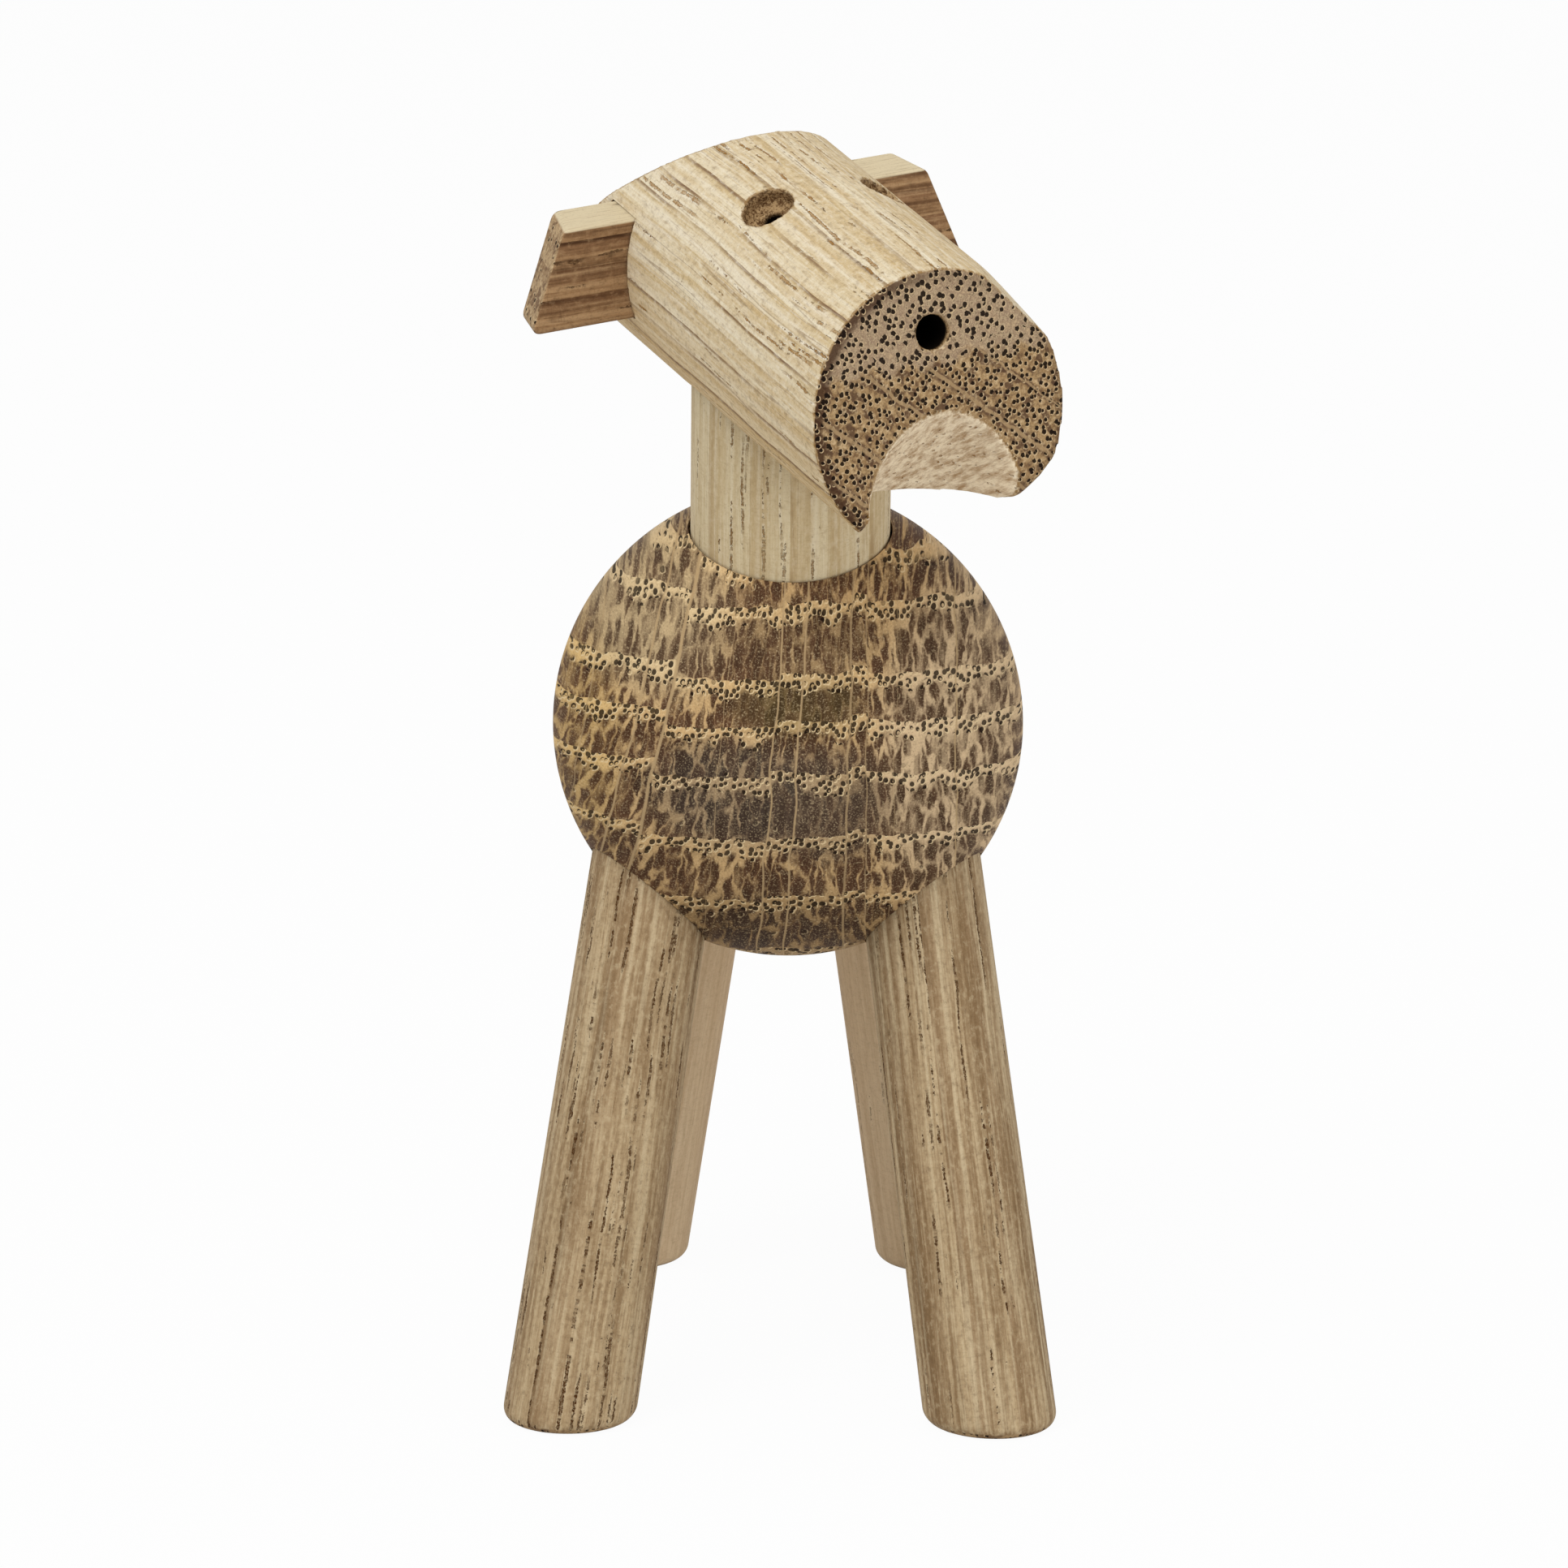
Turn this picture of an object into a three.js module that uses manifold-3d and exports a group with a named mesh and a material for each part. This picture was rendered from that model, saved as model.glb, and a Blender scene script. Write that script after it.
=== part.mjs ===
// Wooden dog figurine: an egg-shaped body on four splayed legs, and a head on a neck that turns.
// Millimetres, +Z up, the dog faces -Y. Lengths are measured from the widest ring of the chest.
import * as THREE from "three";
import { mergeVertices } from "three/addons/utils/BufferGeometryUtils.js";
import Module from "manifold-3d";

const wasm = await Module();
wasm.setup();
const rad = THREE.MathUtils.degToRad;

// Fits: the gap all round a glued dowel or board, and round the neck that turns.
const glueGap = 0.2;
const turnGap = 0.3;
const roundSegments = 48;

// Body: a turned egg, blunt at the chest and slimmer at the rump.
const chestRadius = 14.25;
const chestDepth = 12.1;
const chestHeight = 40.9;
const rumpRadius = 10.2;
const rumpBack = 22;
const rumpDepth = 7.5;
const rumpFall = 0.2;

// Legs: tapered dowels, glued into blind bores, with level soles.
const soleRadius = 4.06;
const hipRadius = 3.72;
const soleRound = 0.9;
const dowelChamfer = 0.5;
const frontHipAcross = 0.528 * chestRadius;
const frontHipBack = -0.107 * chestRadius;
const frontHipDrop = 0.316 * chestRadius;
const frontSplay = 8.2;
const frontRake = 14;
const rearHipAcross = 0.458 * rumpRadius;
const rearHipBack = 0.759 * rumpBack;
const rearHipDrop = 0.314 * rumpRadius;
const rearSplay = 8.3;
const rearRake = -14;

// Tail: a short tapered dowel in the rump.
const tailRadius = 2.6;
const tailTipRadius = 2;
const tailLength = 17;
const tailSocket = 6;
const tailLean = 38;

// Neck: a dowel leaning forward, loose in the body and glued into the head.
const neckRadius = 6;
const neckLean = 11.2;
const neckSeat = 0.1 * chestRadius;
const neckShow = 5.5;

// Friction ring in a groove near the foot of the neck.
const ringSection = 0.8;
const ringRise = 3.2;
const ringClearance = 0.1;

// Head: a thick dowel cut off slanting at the muzzle and at the crown.
const headRadius = 8.22;
const headTurn = 28.2;
const headPitch = 4.6;
const muzzleReach = 18.2;
const muzzleTilt = 16.3;
const crownBack = 4.9;
const crownSlope = 46;
const napeBack = 11.6;
const napeRound = 2.5;
const headSink = 0.8 * headRadius;

// Mouth: a round scoop out of the lower muzzle, which leaves two jowls.
const scoopRadius = 5.18;
const scoopLean = 40.6;
const scoopReach = 24.8;

// Eyes and nose: blind holes, the eyes with the mark of the drill's point.
const eyeRadius = 1.7;
const eyeDepth = 1.25;
const eyeAhead = 2.8;
const rightEyeAngle = 24;
const leftEyeAngle = 32;
const pointRadius = 0.5;
const pointDepth = 1.4;
const noseRadius = 0.97;
const noseDepth = 6;
const noseRise = 4.7;

// Ears: raked boards let into slots in the sides of the head.
const earThickness = 2.9;
const earInset = 2.96;
const earTop = 3.3;
const earHeight = 5.85;
const earRake = 9.7;
const earReach = 3.82;
const earFlare = 2.16;
const earEndSlant = 0.72;
const earDepth = 2.9;
const earCorner = 0.7;
const earEdge = 0.25;

// A closed manifold-3d solid from a three.js geometry, moved by a matrix.
function solid(geometry, matrix = new THREE.Matrix4()) {
  const bare = geometry.clone().applyMatrix4(matrix);
  bare.deleteAttribute("normal");
  bare.deleteAttribute("uv");
  const merged = mergeVertices(bare, 1e-4);
  const index = merged.index.array;
  const kept = [];
  for (let i = 0; i < index.length; i += 3) {
    const [a, b, c] = [index[i], index[i + 1], index[i + 2]];
    if (a !== b && b !== c && c !== a) kept.push(a, b, c);
  }
  const vertProperties = new Float32Array(merged.attributes.position.array);
  return new wasm.Manifold(
    new wasm.Mesh({ numProp: 3, vertProperties, triVerts: new Uint32Array(kept) }),
  );
}

function meshOf(name, shape, material) {
  const { vertProperties, triVerts } = shape.getMesh();
  const geometry = new THREE.BufferGeometry();
  geometry.setAttribute("position", new THREE.BufferAttribute(vertProperties, 3));
  geometry.setIndex(new THREE.BufferAttribute(triVerts, 1));
  geometry.computeVertexNormals();
  const mesh = new THREE.Mesh(geometry, material);
  mesh.name = name;
  return mesh;
}

function wood(color, roughness) {
  return new THREE.MeshStandardMaterial({ color, roughness, metalness: 0 });
}

const at = (x, y) => new THREE.Vector2(x, y);
const turnX = (degrees) => new THREE.Matrix4().makeRotationX(rad(degrees));
const shift = (x, y, z) => new THREE.Matrix4().makeTranslation(x, y, z);

// A turned shape about +Z from radius and height pairs that start and end on the axis.
function turned(profile, segments = roundSegments) {
  return new THREE.LatheGeometry(profile, segments).rotateX(Math.PI / 2);
}

function rod(radius, from, to, segments = roundSegments) {
  return turned([at(0, from), at(radius, from), at(radius, to), at(0, to)], segments);
}

// Body profile: quarter ellipse of the chest, falling flank, rounded rump.
const chest = new THREE.EllipseCurve(0, 0, chestRadius, chestDepth, -Math.PI / 2, 0);
const flank = new THREE.CubicBezierCurve(
  at(chestRadius, 0),
  at(chestRadius, 0.2 * rumpBack),
  at(rumpRadius + 0.45 * rumpBack * rumpFall, 0.55 * rumpBack),
  at(rumpRadius, rumpBack),
);
const rump = new THREE.CubicBezierCurve(
  at(rumpRadius, rumpBack),
  at(rumpRadius - 0.55 * rumpDepth * rumpFall, rumpBack + 0.55 * rumpDepth),
  at(0.62 * rumpRadius, rumpBack + rumpDepth),
  at(0, rumpBack + rumpDepth),
);
const bodyProfile = [
  ...chest.getPoints(12),
  ...flank.getPoints(9).slice(1),
  ...rump.getPoints(9).slice(1),
];
bodyProfile[0].x = 0;
let body = solid(new THREE.LatheGeometry(bodyProfile, roundSegments));

// A leg: the hip is the middle of its top end, the sole lies on the ground below.
function legAt(side, across, back, drop, splay, rake) {
  const hip = new THREE.Vector3(side * across, back, -drop);
  const lean = new THREE.Vector3(-side * Math.tan(rad(splay)), Math.tan(rad(rake)), 1);
  const sole = hip.clone().addScaledVector(lean, drop - chestHeight);
  const length = hip.distanceTo(sole);
  const upright = new THREE.Vector3(0, 0, 1);
  const tilt = new THREE.Quaternion().setFromUnitVectors(upright, lean.clone().normalize());
  const place = new THREE.Matrix4().compose(sole, tilt, new THREE.Vector3(1, 1, 1));
  const dowel = (gap) =>
    solid(
      turned(
        [
          at(0, -soleRadius),
          at(soleRadius + gap, -soleRadius),
          at(hipRadius + gap, length - dowelChamfer + gap),
          at(hipRadius - dowelChamfer + gap, length + gap),
          at(0, length + gap),
        ],
        40,
      ),
      place,
    );
  // The sole is trimmed by an upright form with a rounded lower edge, sheared along the leg.
  const rim = new THREE.EllipseCurve(
    soleRadius - soleRound,
    soleRound,
    soleRound,
    soleRound,
    -Math.PI / 2,
    0,
  );
  const form = turned(
    [
      at(0, 0),
      ...rim.getPoints(6),
      at(soleRadius + soleRound, 3 * soleRound),
      at(soleRadius + soleRound, chestHeight),
      at(0, chestHeight),
    ],
    40,
  );
  const shear = new THREE.Matrix4().set(
    1, 0, lean.x, sole.x,
    0, 1, lean.y, sole.y,
    0, 0, 1, sole.z,
    0, 0, 0, 1,
  );
  return { piece: dowel(0).intersect(solid(form, shear)), bore: dowel(glueGap) };
}

const front = [frontHipAcross, frontHipBack, frontHipDrop, frontSplay, frontRake];
const rear = [rearHipAcross, rearHipBack, rearHipDrop, rearSplay, rearRake];
const legs = {
  leg_front_right: legAt(-1, ...front),
  leg_front_left: legAt(1, ...front),
  leg_rear_right: legAt(-1, ...rear),
  leg_rear_left: legAt(1, ...rear),
};
for (const leg of Object.values(legs)) body = body.subtract(leg.bore);

// Tail: stands in the shoulder of the rump, its tip half round.
const tailTip = new THREE.EllipseCurve(
  0,
  tailLength - tailTipRadius,
  tailTipRadius,
  tailTipRadius,
  0,
  Math.PI / 2,
);
const tailFoot = shift(0, rumpBack + 0.25 * rumpDepth, 0.72 * rumpRadius).multiply(turnX(-tailLean));
const tailTipPoints = tailTip.getPoints(8);
tailTipPoints[8].x = 0;
const tail = solid(
  turned([at(0, -tailSocket), at(tailRadius, -tailSocket), at(tailRadius, 0), ...tailTipPoints], 36),
  tailFoot,
);
body = body.subtract(
  solid(rod(tailRadius + glueGap, -tailSocket - glueGap, tailLength, 36), tailFoot),
);

// Neck: stands on the body's axis; the head's axis crosses it at headRise.
const headRise = chestRadius + neckShow + headRadius;
const neckTop = headRise - headRadius + headSink;
const boreRadius = neckRadius + turnGap;
const ringRadius = boreRadius - ringClearance - ringSection;
const grooveRadius = ringRadius - ringSection - ringClearance;
const grooveHalf = ringSection + ringClearance;
const ringHeight = neckSeat + ringRise;
const neck = solid(
  turned([
    at(0, neckSeat),
    at(neckRadius - dowelChamfer, neckSeat),
    at(neckRadius, neckSeat + dowelChamfer),
    at(neckRadius, ringHeight - grooveHalf),
    at(grooveRadius, ringHeight - grooveHalf),
    at(grooveRadius, ringHeight + grooveHalf),
    at(neckRadius, ringHeight + grooveHalf),
    at(neckRadius, neckTop - dowelChamfer),
    at(neckRadius - dowelChamfer, neckTop),
    at(0, neckTop),
  ]),
);
const ring = solid(
  new THREE.TorusGeometry(ringRadius, ringSection, 12, roundSegments),
  shift(0, 0, ringHeight),
);
body = body.subtract(
  solid(rod(boreRadius, neckSeat - turnGap, 2 * chestRadius), turnX(neckLean)),
);

// Head, in its own frame: muzzle to -Y along the dowel, origin where the two axes cross.
const over = 1.15 * headRadius;
const faceAt = (height) => muzzleReach - height * Math.tan(rad(muzzleTilt));
const crownRun = (napeBack - crownBack) * 0.74;
const kneeHeight = headRadius - crownRun / Math.tan(rad(crownSlope));
const overRun = (over - headRadius) * Math.tan(rad(crownSlope));
const side = new THREE.Shape();
side.moveTo(faceAt(-over), -over);
side.lineTo(faceAt(over), over);
side.lineTo(-crownBack + overRun, over);
side.lineTo(-crownBack - crownRun, kneeHeight);
side.quadraticCurveTo(-napeBack, kneeHeight - 0.26 * crownRun, -napeBack, kneeHeight - crownRun);
side.lineTo(-napeBack, napeRound - headRadius);
side.quadraticCurveTo(-napeBack, -headRadius, napeRound - napeBack, -headRadius);
side.lineTo(napeRound - napeBack, -over);
side.closePath();
const sawn = new THREE.ExtrudeGeometry(side, {
  depth: 2 * over,
  bevelEnabled: false,
  curveSegments: 10,
});
const ahead = new THREE.Vector3(0, -1, 0);
const upward = new THREE.Vector3(0, 0, 1);
const across = new THREE.Vector3(1, 0, 0);
const sideways = new THREE.Matrix4()
  .makeBasis(ahead, upward, across.clone().negate())
  .setPosition(over, 0, 0);
const along = turnX(90);
let head = solid(rod(headRadius, -napeBack, faceAt(-over), 72), along).intersect(
  solid(sawn, sideways),
);

// The scoop's axis crosses the head's axis ahead of the muzzle and runs down and back.
const scoopPlace = shift(0, -scoopReach, 0).multiply(turnX(scoopLean));
head = head.subtract(solid(rod(scoopRadius, -4 * headRadius, headRadius), scoopPlace));

for (const turn of [-rightEyeAngle, leftEyeAngle]) {
  const eye = new THREE.Matrix4().makeRotationY(rad(turn)).setPosition(0, -eyeAhead, 0);
  const floor = headRadius - eyeDepth;
  head = head.subtract(solid(rod(eyeRadius, floor, over + eyeRadius, 32), eye));
  head = head.subtract(solid(rod(pointRadius, floor - pointDepth, over, 16), eye));
}
const noseMatrix = shift(0, -faceAt(noseRise), noseRise).multiply(turnX(90 - muzzleTilt));
head = head.subtract(solid(rod(noseRadius, -noseDepth, 2 * noseRadius, 32), noseMatrix));

// An ear board, grown by a gap for its slot: raked back at the top, wider at the foot and in front.
function earBoard(hand, gap) {
  const top = earTop + gap;
  const foot = earTop - earHeight - gap;
  const inner = headRadius - earDepth - gap;
  const topSpan = headRadius + earReach + gap;
  const outer = (height) => topSpan + ((earTop - height) / earHeight) * earFlare;
  const outline = new THREE.Shape();
  outline.moveTo(hand * inner, foot);
  outline.lineTo(hand * (outer(foot) - earCorner), foot);
  outline.quadraticCurveTo(
    hand * outer(foot),
    foot,
    hand * outer(foot + earCorner),
    foot + earCorner,
  );
  outline.lineTo(hand * outer(top - earCorner), top - earCorner);
  outline.quadraticCurveTo(hand * outer(top), top, hand * (outer(top) - earCorner), top);
  outline.lineTo(hand * inner, top);
  outline.closePath();
  const board = new THREE.ExtrudeGeometry(outline, {
    depth: earThickness + 2 * gap - 2 * earEdge,
    bevelThickness: earEdge,
    bevelSize: earEdge,
    bevelOffset: -earEdge,
    bevelSegments: 2,
    curveSegments: 4,
  }).translate(0, 0, earEdge);
  // The board's thickness runs forward from its back face; the shears rake it and slant its end.
  const rake = Math.tan(rad(earRake));
  const slant = (hand * earEndSlant) / earThickness;
  const middle = earTop - earHeight / 2;
  const back = napeBack - earInset + gap;
  const place = new THREE.Matrix4().set(
    1, 0, slant, -slant * (earThickness + gap),
    0, rake, -1, back - middle * rake,
    0, 1, 0, 0,
    0, 0, 0, 1,
  );
  return board.applyMatrix4(place);
}
head = head.subtract(solid(earBoard(-1, glueGap)));
head = head.subtract(solid(earBoard(1, glueGap)));

// The head pitches down on the neck, which is glued into a blind bore from below.
const pitched = shift(0, 0, headRise).multiply(turnX(headPitch));
const transform = (shape, m) => shape.transform(m.elements);
head = transform(head, pitched).subtract(solid(rod(neckRadius + glueGap, 0, neckTop + glueGap)));

const oak = {
  smoked: wood("#8a7055", 0.72),
  light: wood("#cdb288", 0.62),
  tan: wood("#b3926a", 0.68),
  ear: wood("#a98a63", 0.66),
  rubber: wood("#2a2826", 0.85),
};

const torso = new THREE.Group();
torso.add(meshOf("body", body, oak.smoked));
for (const [name, leg] of Object.entries(legs)) torso.add(meshOf(name, leg.piece, oak.tan));
torso.add(meshOf("tail", tail, oak.tan));

const turning = new THREE.Group();
turning.add(meshOf("neck", neck, oak.light));
turning.add(meshOf("friction_ring", ring, oak.rubber));
turning.add(meshOf("head", head, oak.light));
turning.add(meshOf("ear_right", solid(earBoard(-1, 0), pitched), oak.ear));
turning.add(meshOf("ear_left", solid(earBoard(1, 0), pitched), oak.ear));
turning.rotation.set(rad(neckLean), 0, rad(headTurn), "XYZ");

// The figure stands with the middle of its box over the origin and its soles on the ground.
const figure = new THREE.Group();
figure.add(torso, turning);
figure.updateMatrixWorld(true);
const box = new THREE.Box3().setFromObject(figure, true);
const middle = box.getCenter(new THREE.Vector3());
figure.position.set(-middle.x, -middle.y, -box.min.z);

const dog = new THREE.Group();
dog.name = "wooden_dog_figurine";
dog.add(figure);
export default dog;
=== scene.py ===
import bpy
import numpy as np
from math import radians, tan, sin, cos, pi
from mathutils import Matrix, Vector


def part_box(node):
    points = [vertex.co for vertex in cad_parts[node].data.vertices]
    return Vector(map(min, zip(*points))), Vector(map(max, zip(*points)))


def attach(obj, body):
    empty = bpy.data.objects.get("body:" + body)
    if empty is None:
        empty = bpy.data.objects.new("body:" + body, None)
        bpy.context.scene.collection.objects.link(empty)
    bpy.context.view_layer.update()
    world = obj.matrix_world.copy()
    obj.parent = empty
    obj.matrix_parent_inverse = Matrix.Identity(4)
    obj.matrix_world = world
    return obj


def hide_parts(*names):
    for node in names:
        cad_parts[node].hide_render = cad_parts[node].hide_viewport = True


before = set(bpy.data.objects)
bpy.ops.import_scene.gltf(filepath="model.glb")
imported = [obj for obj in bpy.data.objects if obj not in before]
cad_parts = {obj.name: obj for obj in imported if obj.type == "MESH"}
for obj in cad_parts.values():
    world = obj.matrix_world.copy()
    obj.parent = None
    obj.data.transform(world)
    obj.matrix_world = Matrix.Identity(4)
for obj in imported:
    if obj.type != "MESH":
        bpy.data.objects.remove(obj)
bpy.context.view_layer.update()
scene = bpy.context.scene
scene.view_settings.view_transform = "Standard"
mm = 0.001
print("frame loaded:", len(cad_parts), "nodes")


# shader wiring

class Wire:
    # one socket of a material; sums on wires add Math nodes
    def __init__(self, tree, socket=None):
        self.tree = tree
        self.socket = socket

    # any node: its settings first, then its sockets by name or number
    def add(self, kind, setup=None, feeds=None, out=0):
        node = self.tree.nodes.new("ShaderNode" + kind)
        for key, value in (setup or {}).items():
            if key == "stops":
                ramp = node.color_ramp.elements
                while len(ramp) < len(value):
                    ramp.new(0.5)
                for element, (place, colour) in zip(ramp, value):
                    element.position = place
                    element.color = colour
            elif key == "blend":
                node.color_ramp.interpolation = value
            else:
                setattr(node, key, value)
        for key, value in (feeds or {}).items():
            if isinstance(value, Wire):
                self.tree.links.new(value.socket, node.inputs[key])
            else:
                node.inputs[key].default_value = value
        return Wire(self.tree, node.outputs[out] if node.outputs else None)

    def math(self, operation, *values):
        return self.add("Math", {"operation": operation}, dict(enumerate(values)))

    def __add__(self, other):
        return self.math("ADD", self, other)

    __radd__ = __add__

    def __sub__(self, other):
        return self.math("SUBTRACT", self, other)

    def __rsub__(self, other):
        return self.math("SUBTRACT", other, self)

    def __mul__(self, other):
        return self.math("MULTIPLY", self, other)

    __rmul__ = __mul__

    def __truediv__(self, other):
        return self.math("DIVIDE", self, other)

    def __pow__(self, other):
        return self.math("POWER", self, other)

    def __abs__(self):
        return self.math("ABSOLUTE", self)

    # smooth step from 0 at low to 1 at high, falling where low is above high
    def step(self, low, high):
        feeds = {"Value": self, "From Min": low, "From Max": high}
        return self.add("MapRange", {"interpolation_type": "SMOOTHSTEP"}, feeds)

    # colour a where this is 0, colour b where it is 1
    def mix(self, a, b, blend="MIX"):
        setup = {"data_type": "RGBA", "blend_type": blend, "clamp_factor": True}
        return self.add("Mix", setup, {0: self, 6: a, 7: b}, 2)

    def point(self, x, y, z):
        return self.add("CombineXYZ", None, {0: x, 1: y, 2: z})

    def noise(self, place, scale=1.0, detail=2.0, rough=0.5):
        feeds = {"Vector": place, "Scale": scale, "Detail": detail, "Roughness": rough}
        return self.add("TexNoise", None, feeds)

    # flat cells round scattered points: how far the nearest point is, three random values of its
    # cell, and the way across and down from it
    def cells(self, across, down, random):
        feeds = {"Vector": self.point(across, down, 0), "Scale": 1.0, "Randomness": random}
        near = self.add("TexVoronoi", {"voronoi_dimensions": "2D"}, feeds)
        outs = near.socket.node.outputs
        x, y, _ = Wire(self.tree, outs["Position"]).parts()
        return near, Wire(self.tree, outs["Color"]).parts(), across - x, down - y

    # how far the nearest border between such cells is
    def seams(self, across, down, random):
        feeds = {"Vector": self.point(across, down, 0), "Scale": 1.0, "Randomness": random}
        setup = {"voronoi_dimensions": "2D", "feature": "DISTANCE_TO_EDGE"}
        return self.add("TexVoronoi", setup, feeds)

    def attribute(self, name):
        return self.add("Attribute", {"attribute_name": name}, None, "Fac")

    def parts(self):
        node = self.add("SeparateXYZ", None, {0: self}).socket.node
        return [Wire(self.tree, s) for s in node.outputs]

    # the lesser of this and a number
    def most(self, limit):
        return self.math("MINIMUM", self, limit)

    # the greater of this and another
    def least(self, other):
        return self.math("MAXIMUM", self, other)


def tint(code):
    # a written sRGB colour as linear values
    s = np.array([int(code[i:i + 2], 16) for i in (1, 3, 5)]) / 255
    line = np.where(s <= 0.04045, s / 12.92, ((s + 0.055) / 1.055) ** 2.4)
    return (*line.tolist(), 1.0)


def startMaterial(name, grain):
    # object coordinates in millimetres, turned into the grain's frame (across, growth, along)
    material = bpy.data.materials.new(name)
    material.use_nodes = True
    material.node_tree.nodes.clear()
    wire = Wire(material.node_tree)
    axes = Matrix((grain["across"], grain["growth"], grain["along"])).to_3x3()
    place = -(axes @ Vector(grain["origin"]))
    feeds = {"Vector": wire.add("TexCoord", None, None, "Object"), "Location": place,
             "Rotation": axes.to_euler(), "Scale": (1 / mm,) * 3}
    return material, wire, wire.add("Mapping", {"vector_type": "POINT"}, feeds)


def closeMaterial(wire, colour, roughness, height, depth, sheen=0.1):
    # depth is how far a height of 1 stands up, in millimetres
    bump = wire.add("Bump", None, {"Strength": 1.0, "Distance": depth * mm, "Height": height})
    feeds = {"Base Color": colour, "Roughness": roughness, "Normal": bump,
             "Specular IOR Level": sheen}
    shader = wire.add("BsdfPrincipled", None, feeds)
    wire.add("OutputMaterial", None, {"Surface": shader})


# surfaces

def unit(v):
    v = np.asarray(v, float)
    return v / np.linalg.norm(v, axis=-1, keepdims=True)


def skin(name, grid):
    # rows of points round a closed form; the first and last rows are one point each
    rows, cols = grid.shape[:2]
    points = np.concatenate([grid[:1, 0], grid[1:-1].reshape(-1, 3), grid[-1:, 0]])
    ring = 1 + np.arange((rows - 2) * cols).reshape(rows - 2, cols)
    ahead = np.roll(ring, -1, 1)
    quads = np.stack([ring[:-1], ahead[:-1], ahead[1:], ring[1:]], -1).reshape(-1, 4)
    first = np.stack([np.zeros(cols, int), ahead[0], ring[0]], -1)
    last = np.stack([np.full(cols, len(points) - 1), ring[-1], ahead[-1]], -1)
    a, b, c = (points[quads[:, i]] for i in range(3))
    if np.einsum("ij,ij->", a - points.mean(0), np.cross(b - a, c - a)) < 0:
        quads, first, last = quads[:, ::-1], first[:, ::-1], last[:, ::-1]
    mesh = bpy.data.meshes.new(name)
    mesh.from_pydata((points * mm).tolist(), [], quads.tolist() + first.tolist() + last.tolist())
    piece = bpy.data.objects.new(name, mesh)
    scene.collection.objects.link(piece)
    return piece


def turned(name, profile, place, cols=128):
    # radius and height pairs carried round the place's own Z axis
    r, h = np.asarray(profile, float).T
    angle = np.linspace(0, 2 * pi, cols, endpoint=False)
    local = np.stack([r[:, None] * np.cos(angle), r[:, None] * np.sin(angle),
                      np.repeat(h[:, None], cols, 1)], -1)
    return skin(name, moved(local, place))


def shift(*by):
    return Matrix.Translation(by)


def turn(degrees, axis):
    return Matrix.Rotation(radians(degrees), 4, axis)


def facing(way):
    # a turn that points Z the given way
    return Vector(way).to_track_quat("Z", "Y").to_matrix().to_4x4()


def moved(points, place):
    m = np.array(place)
    return points @ m[:3, :3].T + m[:3, 3]


def bezier(p, count):
    # cubic curve through its four control points, sampled evenly in its parameter
    t = np.linspace(0, 1, count)[:, None]
    p = np.asarray(p, float)
    rising = 3 * t * (1 - t) ** 2 * p[1] + 3 * t * t * (1 - t) * p[2]
    return (1 - t) ** 3 * p[0] + rising + t ** 3 * p[3]


def arc(centre, radius, start, end, count):
    # points of a circle or ellipse between two angles in degrees
    a = np.radians(np.linspace(start, end, count))
    return np.asarray(centre) + np.asarray(radius) * np.stack([np.cos(a), np.sin(a)], -1)


def cut(piece, tools):
    # takes each tool's volume out of the piece and deletes the tool
    for tool in tools:
        less = piece.modifiers.new("cut", "BOOLEAN")
        less.operation = "DIFFERENCE"
        less.solver = "EXACT"
        less.object = tool
        settle(piece)
        bpy.data.objects.remove(tool)


def settle(piece):
    # the modifiers' result becomes the piece's own mesh
    bpy.context.view_layer.update()
    made = piece.evaluated_get(bpy.context.evaluated_depsgraph_get())
    mesh = bpy.data.meshes.new_from_object(made)
    piece.modifiers.clear()
    old, piece.data = piece.data, mesh
    bpy.data.meshes.remove(old)
    mesh.name = piece.name


def within(piece, place):
    # the piece's points in a place's own frame: their distance from its Z axis, and the points
    p = np.zeros(len(piece.data.vertices) * 3, np.float32)
    piece.data.vertices.foreach_get("co", p)
    local = moved(p.reshape(-1, 3) / mm, place.inverted())
    return np.hypot(local[:, 0], local[:, 1]), local


def grainOf(place, origin, order=(0, 1, 2)):
    # a place's own axes as the ways across the grain, of growth and along it
    m = place.to_3x3()
    across, growth, along = (m.col[i].copy() for i in order)
    return {"across": across, "growth": growth, "along": along, "origin": origin}


def finishPiece(piece, body, node, material, along, crease=35):
    # smooth faces, sharp creases, and how far each point faces along the grain
    mesh = piece.data
    mesh.shade_smooth()
    mesh.set_sharp_from_angle(angle=radians(crease))
    normal = np.zeros(len(mesh.vertices) * 3, np.float32)
    mesh.vertex_normals.foreach_get("vector", normal)
    endOn = np.abs(normal.reshape(-1, 3) @ unit(np.array(along)).astype(np.float32))
    mesh.attributes.new("endCut", "FLOAT", "POINT").data.foreach_set("value", endOn)
    mesh.materials.clear()
    mesh.materials.append(material)
    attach(piece, body)
    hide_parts(node)
    print(piece.name, "has", len(mesh.polygons), "faces")


# oak

# hole is the black painted into the deep drilled holes as painted shadow
darkest = {"endPore": "#150a04", "fuzzPale": "#b3946a", "fuzzDark": "#56391d", "hole": "#0d0703"}


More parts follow.
